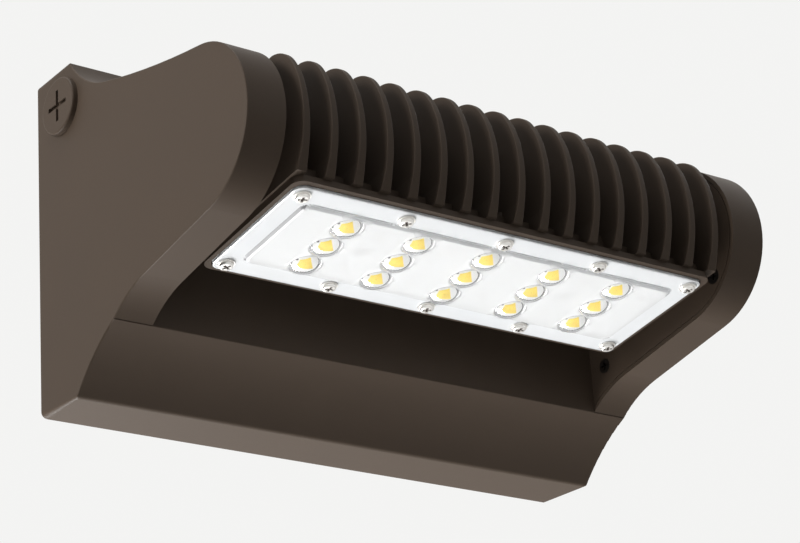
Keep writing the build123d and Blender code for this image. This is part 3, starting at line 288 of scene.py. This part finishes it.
housing_coat = powder_coat("housing_coat", COAT_DARK, COAT_LIGHT, 0.40)
paint(housing_coat, "housing")
for side in ("left", "right"):
    paint(housing_coat, "arm_cover_" + side, "conduit_plug_" + side)

# ------------------------------------------------------------------ head
# The tilting head is one casting as well: a base that holds the lens panel, and seventeen curved
# fins. It has the same kind of coat as the housing, a little darker and rougher.
head_coat = powder_coat("head_coat", (0.040, 0.0285, 0.0205), (0.053, 0.0380, 0.0275), 0.44)
paint(head_coat, "head_casting")

# ------------------------------------------------------------------ LED board
# A white enamelled aluminium board behind the lens panel, held by two dark screws, with flat pale
# dots of glue between the columns of LEDs. From here on, pieces of the head are worked out in its
# own frame, in mm: x to the side, y back along the panel, z up into the head.
TILT = math.radians(9.2)
PIVOT_Y = -136.0
PIVOT_Z = 5.0
PANEL_MID = 13.5
BOARD_Z = -31.9
GLUE_R = 3.4
GLUE_RISE = 0.18
GLUE_COLUMNS = (-58.9, -19.63, 19.63, 58.9)
GLUE_ROWS = (-14.6, 14.6)
GLUE_SEGMENTS = 28
SHARP_ANGLE = math.radians(35)


def tilted(x, y, z):
    """Points in the head's frame to the scene's: y and z turned by the tilt, moved to the pivot, in m."""
    back = PANEL_MID + y
    scene_y = PIVOT_Y + back * math.cos(TILT) + z * math.sin(TILT)
    scene_z = PIVOT_Z - back * math.sin(TILT) + z * math.cos(TILT)
    return np.stack([x, scene_y, scene_z], axis=-1).reshape(-1, 3) * MM


def turned(places, radii, heights, segments, shape=None):
    """Pieces turned about the panel's normal, one at each place (x, y, z, turn).

    A ring of points lies at every radius, at its height out of the panel, and a single point closes
    each end. shape(u, v) gives how much lower a point lies, as in a recess. Returns the points, the
    faces, and for every point its u and v from the axis."""
    angle = np.arange(segments) * 2 * np.pi / segments
    u = (radii[:, None] * np.cos(angle)).ravel()
    v = (radii[:, None] * np.sin(angle)).ravel()
    w = np.repeat(heights, segments)
    u = np.concatenate([[0.0], u, [0.0]])
    v = np.concatenate([[0.0], v, [0.0]])
    w = np.concatenate([[heights[0]], w, [heights[-1]]])
    if shape is not None:
        w = w - shape(u, v)
    ring = 1 + np.arange(len(radii) - 1)[:, None] * segments
    here = np.arange(segments)
    after = (here + 1) % segments
    quads = np.stack(
        [ring + here, ring + segments + here, ring + segments + after, ring + after], axis=-1)
    quads = quads.reshape(-1, 4)
    last = len(u) - 1
    top = np.stack([np.zeros_like(here), 1 + here, 1 + after], axis=-1)
    end_ring = last - segments
    bottom = np.stack([np.full_like(here, last), end_ring + after, end_ring + here], axis=-1)
    points = []
    faces = []
    for number, (x, y, z, turn) in enumerate(places):
        cos, sin = math.cos(turn), math.sin(turn)
        points.append(tilted(x + u * cos - v * sin, y - u * sin - v * cos, z - w))
        faces += [(f + number * len(u)).tolist() for f in (quads, top, bottom)]
    return np.concatenate(points), sum(faces, []), np.tile(np.stack([u, v], axis=-1), (len(places), 1))


def head_piece(name, points, faces, finishes, stands_for=None, uv=None, finish_of=None):
    mesh = bpy.data.meshes.new(name)
    mesh.from_pydata(points.tolist(), [], faces)
    mesh.polygons.foreach_set("use_smooth", np.ones(len(faces), dtype=bool))
    mesh.set_sharp_from_angle(angle=SHARP_ANGLE)
    if uv is not None:
        corner = np.empty(len(mesh.loops), dtype=np.int32)
        mesh.loops.foreach_get("vertex_index", corner)
        mesh.uv_layers.new(name="place").data.foreach_set("uv", uv[corner].astype(np.float32).ravel())
    for finish in finishes:
        mesh.materials.append(finish.material)
    if finish_of is not None:
        mesh.polygons.foreach_set("material_index", finish_of.astype(np.int32))
    piece = bpy.data.objects.new(name, mesh)
    scene.collection.objects.link(piece)
    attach(piece, "head")
    if stands_for:
        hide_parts(stands_for)


board_white = moulded("board_white", (0.86, 0.87, 0.88), (0.90, 0.90, 0.90), 0.38, 2.0, 0.01)
board_screw_steel = metal("board_screw_steel", (0.16, 0.16, 0.16), (0.28, 0.28, 0.28), 0.36, 0.6)
glue = moulded("glue", (0.60, 0.57, 0.53), (0.70, 0.68, 0.65), 0.30, 1.2, 0.02)
paint(board_white, "led_board")
paint(board_screw_steel, "board_screws")
glue_places = [(x, y, BOARD_Z, 0.0) for x in GLUE_COLUMNS for y in GLUE_ROWS]
glue_radii = np.array([0.8, 1.6, 2.3, 2.9, 3.25, GLUE_R])
glue_heights = GLUE_RISE * np.sqrt(1 - (glue_radii / GLUE_R) ** 2)
glue_points, glue_faces, _ = turned(glue_places, glue_radii, glue_heights, GLUE_SEGMENTS)
head_piece("glue_dots", glue_points, glue_faces, [glue])

# ------------------------------------------------------------------ LED packages
# Each package is a white disc under a dome of clear gel that wets the optic above it. The optic shows
# its yellow phosphor as a four-cornered patch, with a tiny dark polarity mark beside it.
LENS_COLUMNS = (-78.52, -39.26, 0.0, 39.26, 78.52)
LENS_ROWS = (-16.43, 0.0, 16.43)
DISC_R = 4.9
WELL_DEPTH = 0.5
GEL_RISE = 1.2
GEL_WETS = 0.02
BOARD_AIR = 0.3
PATCH_EDGES = (
    (0.297, -0.954, 2.8), (0.814, 0.581, 2.4), (-0.661, 0.750, 2.8), (-0.967, -0.254, 2.8))
PATCH_SOFTNESS = 0.35
MARK_PLACE = (-4.0, 0.5)
MARK_R = 0.5
MARK_SOFTNESS = 0.25
GEL_DARK = (0.94, 0.66, 0.06)
GEL_LIGHT = (0.98, 0.76, 0.14)
DISC_WHITE = (0.88, 0.88, 0.86, 1.0)
MARK_BLACK = (0.06, 0.05, 0.05, 1.0)
PACKAGE_SEGMENTS = 36

package = Finish("phosphor", Roughness=0.35)
place = package.node("ShaderNodeUVMap", {"uv_map": "place"})
along = package.node("ShaderNodeSeparateXYZ", out="X", Vector=place)
across = package.node("ShaderNodeSeparateXYZ", out="Y", Vector=place)


def falls(finish, value, start, width):
    """1 while value is under start, 0 once it is over start + width, and smooth between."""
    return finish.node(
        "ShaderNodeMapRange", {"interpolation_type": "SMOOTHSTEP"},
        Value=value, From_Min=start, From_Max=start + width, To_Min=1.0, To_Max=0.0)


inside_edges = [
    falls(package, along * edge_x + across * edge_y, reach - PATCH_SOFTNESS, PATCH_SOFTNESS)
    for edge_x, edge_y, reach in PATCH_EDGES]
patch = inside_edges[0] * inside_edges[1] * inside_edges[2] * inside_edges[3]
off_mark = package.node(
    "ShaderNodeVectorMath", {"operation": "DISTANCE"}, out="Value", i0=place, i1=(*MARK_PLACE, 0.0))
mark = falls(package, off_mark, MARK_R, MARK_SOFTNESS)
gel_tone = package.between(package.noise(1.5), GEL_DARK, GEL_LIGHT)
patch_tone = package.node(
    "ShaderNodeMix", {"data_type": "RGBA"}, out=2, Factor=patch, i6=DISC_WHITE, i7=gel_tone)
package.drive(Base_Color=package.node(
    "ShaderNodeMix", {"data_type": "RGBA"}, out=2, Factor=mark, i6=patch_tone, i7=MARK_BLACK))

package_radii = np.array([0.7, 1.4, 2.1, 2.85, 3.6, 4.36, 4.7, DISC_R, DISC_R])
package_heights = BOARD_AIR + WELL_DEPTH + GEL_WETS + GEL_RISE * (1 - (package_radii / DISC_R) ** 2)
package_heights[-1] = 0.0
package_places = [(x, y, BOARD_Z, 0.0) for x in LENS_COLUMNS for y in LENS_ROWS]
package_points, package_faces, package_uv = turned(
    package_places, package_radii, package_heights, PACKAGE_SEGMENTS)
head_piece(
    "led_packages", package_points, package_faces, [package], "leds", uv=package_uv)

# ------------------------------------------------------------------ lens panel
# One polycarbonate moulding over a white silicone gasket: a milky flange with ten screw holes, a
# raised field with a sloping edge, and fifteen clear domes on low rims, with wells behind them for
# the LEDs' gel.
PANEL_HALF = (117.5, 36.2)
PANEL_CORNER = 5.0
FLANGE_Z = -34.2
PANEL_BACK_Z = -32.2
FIELD_HALF = (105.6, 24.2)
FIELD_CORNER = 3.0
FIELD_RISE = 1.5
FIELD_SLOPE = 2.0
FOOT_STARTS = 1.4
DARK_FOOT_STARTS = 0.7
EDGE_ROUND = 0.5
EDGE_DROP = 0.3
RIM_R = 8.1
RIM_RISE = 0.25
DOME_R = 7.7
DOME_RISE = 3.35
HOLLOW_R = 5.0
HOLLOW_WALL = 0.6
HOLE_R = 2.1
RELIEF_X = 58.9
RELIEF_R = 3.6
RELIEF_STEEP = 1.9
RELIEF_DEPTH = 1.9
SCREW_COLUMNS = (-111.88, -55.94, 0.0, 55.94, 111.88)
SCREW_ROWS = (-30.35, 30.35)
LENS_CELL_HALF = 8.215
LENS_RINGS = np.array([
    0.7, 1.4, HOLE_R, 2.85, 3.6, 4.36, HOLLOW_R, 5.6, 6.2, 6.75, 7.3, DOME_R, RIM_R, LENS_CELL_HALF])
SCREW_RINGS = LENS_RINGS[:7]
WIDEST_CELL = 1.7
SLOPE_MIDDLE_Y = 25.0
TINY = 1e-9


def grid_lines(lens_centres, screw_centres, edges):
    """Lines of the grid along one axis: rings each side of every centre, both edges, even fillers."""
    marks = [c + side * LENS_RINGS for c in lens_centres for side in (-1, 1)]
    marks += [c + side * SCREW_RINGS for c in screw_centres for side in (-1, 1)]
    marks += [np.array(lens_centres), np.array(screw_centres), np.array(edges), -np.array(edges)]
    marks = np.unique(np.round(np.concatenate(marks), 3))
    runs = [
        np.linspace(low, high, int(np.ceil((high - low) / WIDEST_CELL)) + 1)[:-1]
        for low, high in zip(marks[:-1], marks[1:])]
    return np.concatenate(runs + [marks[-1:]])


def outside(x, y, half, corner):
    """Distance of points from a rectangle with round corners: positive outside it, negative inside."""
    qx = np.abs(x) - half[0] + corner
    qy = np.abs(y) - half[1] + corner
    return np.hypot(np.maximum(qx, 0), np.maximum(qy, 0)) + np.minimum(np.maximum(qx, qy), 0) - corner


def rounded(x, y, centre, round_to, square_at):
    """Square rings of the grid round a centre become circles of the same reach, out to round_to.

    A point is drawn in by its larger offset over its distance, wholly up to round_to and not at all
    from square_at on, so the rest of the grid stays as it was."""
    u = x - centre[0]
    v = y - centre[1]
    reach = np.maximum(np.abs(u), np.abs(v))
    drawn_in = reach / np.maximum(np.hypot(u, v), TINY)
    share = np.clip((square_at - reach) / (square_at - round_to), 0, 1)
    factor = 1 + (drawn_in - 1) * share
    return centre[0] + u * factor, centre[1] + v * factor


x_lines = grid_lines(
    LENS_COLUMNS, [c for c in SCREW_COLUMNS if c not in LENS_COLUMNS],
    (FIELD_HALF[0], FIELD_HALF[0] + DARK_FOOT_STARTS, FIELD_HALF[0] + FOOT_STARTS,
     FIELD_HALF[0] + FIELD_SLOPE, PANEL_HALF[0] - EDGE_ROUND, PANEL_HALF[0]))
y_lines = grid_lines(
    LENS_ROWS, SCREW_ROWS,
    (SLOPE_MIDDLE_Y, FIELD_HALF[1] + FOOT_STARTS, FIELD_HALF[1] + FIELD_SLOPE,
     PANEL_HALF[1] - EDGE_ROUND, PANEL_HALF[1]))
flat_x, flat_y = np.meshgrid(x_lines, y_lines)
cell_x = (flat_x[:-1, :-1] + flat_x[1:, 1:]) / 2
cell_y = (flat_y[:-1, :-1] + flat_y[1:, 1:]) / 2
kept = np.ones(cell_x.shape, dtype=bool)
lens_centres = [(x, y) for x in LENS_COLUMNS for y in LENS_ROWS]
screw_centres = [(x, y) for x in SCREW_COLUMNS for y in SCREW_ROWS]
panel_x, panel_y = flat_x, flat_y
for centre in lens_centres:
    panel_x, panel_y = rounded(panel_x, panel_y, centre, RIM_R, LENS_CELL_HALF)
for centre in screw_centres:
    panel_x, panel_y = rounded(panel_x, panel_y, centre, SCREW_RINGS[-2], SCREW_RINGS[-1])
    kept &= np.maximum(np.abs(cell_x - centre[0]), np.abs(cell_y - centre[1])) > HOLE_R

# The four corners of the grid are drawn in the same way, round the middle of the corner's arc.
corner_u = np.maximum(np.abs(panel_x) - PANEL_HALF[0] + PANEL_CORNER, 0)
corner_v = np.maximum(np.abs(panel_y) - PANEL_HALF[1] + PANEL_CORNER, 0)
corner_in = np.maximum(corner_u, corner_v) / np.maximum(np.hypot(corner_u, corner_v), TINY)
panel_x = panel_x - np.sign(panel_x) * corner_u * (1 - corner_in)
panel_y = panel_y - np.sign(panel_y) * corner_v * (1 - corner_in)

# The front rises from the flange up the slope to the field, and from each lens's rim to its dome,
# a spherical cap. The back is flat but for the domed wells over the LEDs and two screw reliefs.
lens_off = np.min([np.hypot(panel_x - x, panel_y - y) for x, y in lens_centres], axis=0)
field_off = outside(panel_x, panel_y, FIELD_HALF, FIELD_CORNER)
rise = FIELD_RISE * np.clip(1 - field_off / FIELD_SLOPE, 0, 1)
ball_r = (DOME_R ** 2 + DOME_RISE ** 2) / (2 * DOME_RISE)
cap = np.sqrt(np.maximum(ball_r ** 2 - lens_off ** 2, 0)) - (ball_r - DOME_RISE)
rise = np.where(lens_off < RIM_R + TINY, FIELD_RISE + RIM_RISE + np.maximum(cap, 0), rise)
edge_off = outside(panel_x, panel_y, PANEL_HALF, PANEL_CORNER)
rise -= EDGE_DROP * np.clip(1 + edge_off / EDGE_ROUND, 0, 1)
hollow = WELL_DEPTH * np.clip((HOLLOW_R + HOLLOW_WALL - lens_off) / HOLLOW_WALL, 0, 1)
hollow += GEL_RISE * np.maximum(1 - (lens_off / DISC_R) ** 2, 0)
relief_off = np.hypot(np.abs(panel_x) - RELIEF_X, panel_y)
hollow += RELIEF_DEPTH * np.clip(RELIEF_STEEP * (RELIEF_R - relief_off), 0, 1)

# Front and back share the grid's faces, and a wall joins them wherever a kept cell has no neighbour.
points_in_layer = panel_x.size
panel_points = np.concatenate([
    tilted(panel_x, panel_y, FLANGE_Z - rise), tilted(panel_x, panel_y, PANEL_BACK_Z - hollow)])
number = np.arange(points_in_layer).reshape(panel_x.shape)
corner_a, corner_b = number[:-1, :-1], number[:-1, 1:]
corner_c, corner_d = number[1:, 1:], number[1:, :-1]
front_faces = np.stack([corner_a, corner_d, corner_c, corner_b], axis=-1)[kept]
back_faces = np.stack([corner_a, corner_b, corner_c, corner_d], axis=-1)[kept] + points_in_layer
walls = []
beside = np.pad(kept, 1)
for first, second, neighbour in (
        (corner_a, corner_b, beside[:-2, 1:-1]), (corner_b, corner_c, beside[1:-1, 2:]),
        (corner_c, corner_d, beside[2:, 1:-1]), (corner_d, corner_a, beside[1:-1, :-2])):
    bare = kept & ~neighbour
    here, there = first[bare], second[bare]
    walls.append(np.stack([here, there, there + points_in_layer, here + points_in_layer], axis=-1))
wall_faces = np.concatenate(walls)
panel_faces = np.concatenate([front_faces, back_faces, wall_faces])

# The flange is milky, the field clearer and the lenses clear, front and back. A line of painted shade
# follows the foot of the slope: dark at the left end and at two corners, faint elsewhere.
MILKY, CLEAR, PAINTED_DARK_SHADE, PAINTED_FAINT_SHADE, FIELD = range(5)
LINE_ENDS_X = 93.0
LINE_STOPS_X = 103.0
LENS_FACES_R = (RIM_R + LENS_CELL_HALF) / 2
face_x = panel_x.ravel()[front_faces].mean(axis=1)
face_y = panel_y.ravel()[front_faces].mean(axis=1)
face_lens_off = lens_off.ravel()[front_faces].mean(axis=1)
face_field_off = field_off.ravel()[front_faces].mean(axis=1)
on_foot = (face_field_off > FOOT_STARTS) & (face_field_off < FIELD_SLOPE)
at_corner = (face_y > 0) & (np.abs(face_x) > LINE_ENDS_X) & (np.abs(face_x) < LINE_STOPS_X)
at_left_end = (face_x < -FIELD_HALF[0]) & (face_field_off > DARK_FOOT_STARTS)
at_left_end &= face_field_off < FIELD_SLOPE
painted_dark_shade_mask = at_left_end | (on_foot & at_corner)
front_finish = np.select(
    [face_lens_off < LENS_FACES_R, painted_dark_shade_mask, on_foot, face_field_off < 0],
    [CLEAR, PAINTED_DARK_SHADE, PAINTED_FAINT_SHADE, FIELD], default=MILKY)
back_finish = np.select(
    [face_lens_off < HOLLOW_R, face_field_off < 0], [CLEAR, FIELD], default=MILKY)
panel_finish = np.concatenate([front_finish, back_finish, np.full(len(wall_faces), MILKY)])


def panel_plastic(name, dark, light, roughness, transmission):
    """Polycarbonate: a faint cloud of tone and of gloss over it, and light that goes partly through."""
    finish = Finish(name, IOR=1.49, Transmission_Weight=transmission)
    cloud = finish.noise(26.0, 2.0, 0.5, (2.5, 1, 1))
    finish.drive(Base_Color=finish.between(cloud, dark, light), Roughness=cloud * 0.06 + roughness)
    return finish


seal_white = moulded("seal_white", (0.76, 0.76, 0.75), (0.84, 0.84, 0.83), 0.50)
milky = panel_plastic("lens_plastic", (0.83, 0.855, 0.88), (0.90, 0.91, 0.92), 0.12, 0.40)
clear = panel_plastic("lens_clear", (0.955, 0.955, 0.97), (0.98, 0.98, 0.985), 0.015, 0.94)
# Painted shade: these two darker plastics on the foot of the slope stand in for shade, one dark and one
# faint.
painted_dark_shade_plastic = panel_plastic("panel_painted_shade_dark", (0.10, 0.10, 0.105), (0.20, 0.20, 0.21), 0.30, 0.2)
field_plastic = panel_plastic("lens_field", (0.955, 0.965, 0.97), (0.98, 0.98, 0.985), 0.02, 0.55)
painted_faint_shade_plastic = panel_plastic("panel_painted_shade_faint", (0.66, 0.68, 0.70), (0.80, 0.82, 0.84), 0.25, 0.3)
paint(seal_white, "lens_gasket")
head_piece(
    "lens_optic", panel_points, panel_faces.tolist(),
    [milky, clear, painted_dark_shade_plastic, painted_faint_shade_plastic, field_plastic],
    "lens_panel", finish_of=panel_finish)

# ------------------------------------------------------------------ lens screws
# Ten stainless pan head screws with cross recesses, each driven to its own angle, and a thin washer
# under each. The head is turned, and the recess is pressed into it.
SCREW_SEAT_Z = -34.9
HEAD_R = 3.3
HEAD_T = 1.5
SHANK_R = 1.9
SHANK_LENGTH = 12.7
CROSS_HALF = 0.55
CROSS_REACH = 2.1
CROSS_DEPTH = 1.1
CROSS_SHALLOWS = 0.6
SCREW_TURNS = (0.3, 1.1, 0.7, 0.1, 1.3, 0.5, 0.9, 0.2, 1.2, 0.6)
SCREW_SEGMENTS = 56
TOP_RADII = np.linspace(0.18, 2.45, 13)
TOP_ENDS_R = 2.55
ROUND_RADII = (2.8, 3.05, 3.22, HEAD_R)
ROUND_DROPS = (0.06, 0.25, 0.6, 1.0)


def cross_recess(u, v):
    """Depth of the recess: two crossing slots, each deepest in the middle and shallow at its ends."""
    short = np.minimum(np.abs(u), np.abs(v))
    long = np.maximum(np.abs(u), np.abs(v))
    inside = (short < CROSS_HALF) & (long < CROSS_REACH)
    return np.where(inside, CROSS_DEPTH * (1 - CROSS_SHALLOWS * long / CROSS_REACH), 0.0)


stainless = metal("stainless", (0.66, 0.64, 0.61), (0.88, 0.86, 0.83), 0.32, 0.4)
# Painted shade: the faces inside the cross recesses get a dark finish that stands in for the shade in them.
recess_painted_shade = moulded("recess_painted_shade", (0.035, 0.025, 0.020), (0.080, 0.060, 0.050), 0.55, 0.3)
screw_radii = np.concatenate([TOP_RADII, ROUND_RADII, [HEAD_R, SHANK_R, SHANK_R]])
screw_heights = np.concatenate([
    np.full(len(TOP_RADII), HEAD_T), HEAD_T - np.array(ROUND_DROPS), [0.0, 0.0, -SHANK_LENGTH]])
screw_places = [
    (x, y, SCREW_SEAT_Z, turn) for (x, y), turn in zip(screw_centres, SCREW_TURNS)]
screw_points, screw_faces, screw_uv = turned(
    screw_places, screw_radii, screw_heights, SCREW_SEGMENTS,
    lambda u, v: np.where(np.hypot(u, v) < TOP_ENDS_R, cross_recess(u, v), 0.0))
face_middles = np.array([screw_uv[face].mean(axis=0) for face in screw_faces])
painted_shade_faces = cross_recess(face_middles[:, 0], face_middles[:, 1]) > 0
head_piece(
    "pan_head_screws", screw_points, screw_faces, [stainless, recess_painted_shade], "lens_screws",
    finish_of=np.where(painted_shade_faces, 1, 0))
paint(stainless, "lens_washers")

# ------------------------------------------------------------------ floor and last lines
# The light hangs in the air as it would on a wall, over a plain pale studio floor, which the camera
# sees mostly as pale as the backdrop, with the lamps' light and the shadows on it.
FLOOR_Z = -1.3
FLOOR_HALF = 6.0
SEEN_SHARE = 0.75
floor_mesh = bpy.data.meshes.new("studio_floor")
floor_mesh.from_pydata(
    [(x * FLOOR_HALF, y * FLOOR_HALF, FLOOR_Z) for x, y in ((-1, -1), (1, -1), (1, 1), (-1, 1))],
    [], [(0, 1, 2, 3)])
floor = bpy.data.objects.new("studio_floor", floor_mesh)
scene.collection.objects.link(floor)
floor_paint = moulded("floor_paint", (0.72, 0.72, 0.71), (0.76, 0.76, 0.75), 0.80, 20.0, 0.05)
floor_seen = floor_paint.node("ShaderNodeLightPath", out="Is Camera Ray")
for shiny_ray in ("Is Glossy Ray", "Is Transmission Ray"):
    floor_seen = floor_paint.maths(
        "MAXIMUM", floor_seen, floor_paint.node("ShaderNodeLightPath", out=shiny_ray))
floor_pale = floor_paint.node("ShaderNodeEmission", Color=BACKDROP)
floor_mix = floor_paint.node(
    "ShaderNodeMixShader", Fac=floor_seen * SEEN_SHARE,
    i1=Wire(floor_paint, floor_paint.surface.outputs[0]), i2=floor_pale)
floor_paint.tree.links.new(
    floor_mix.socket, floor_paint.tree.nodes["Material Output"].inputs["Surface"])
floor_mesh.materials.append(floor_paint.material)
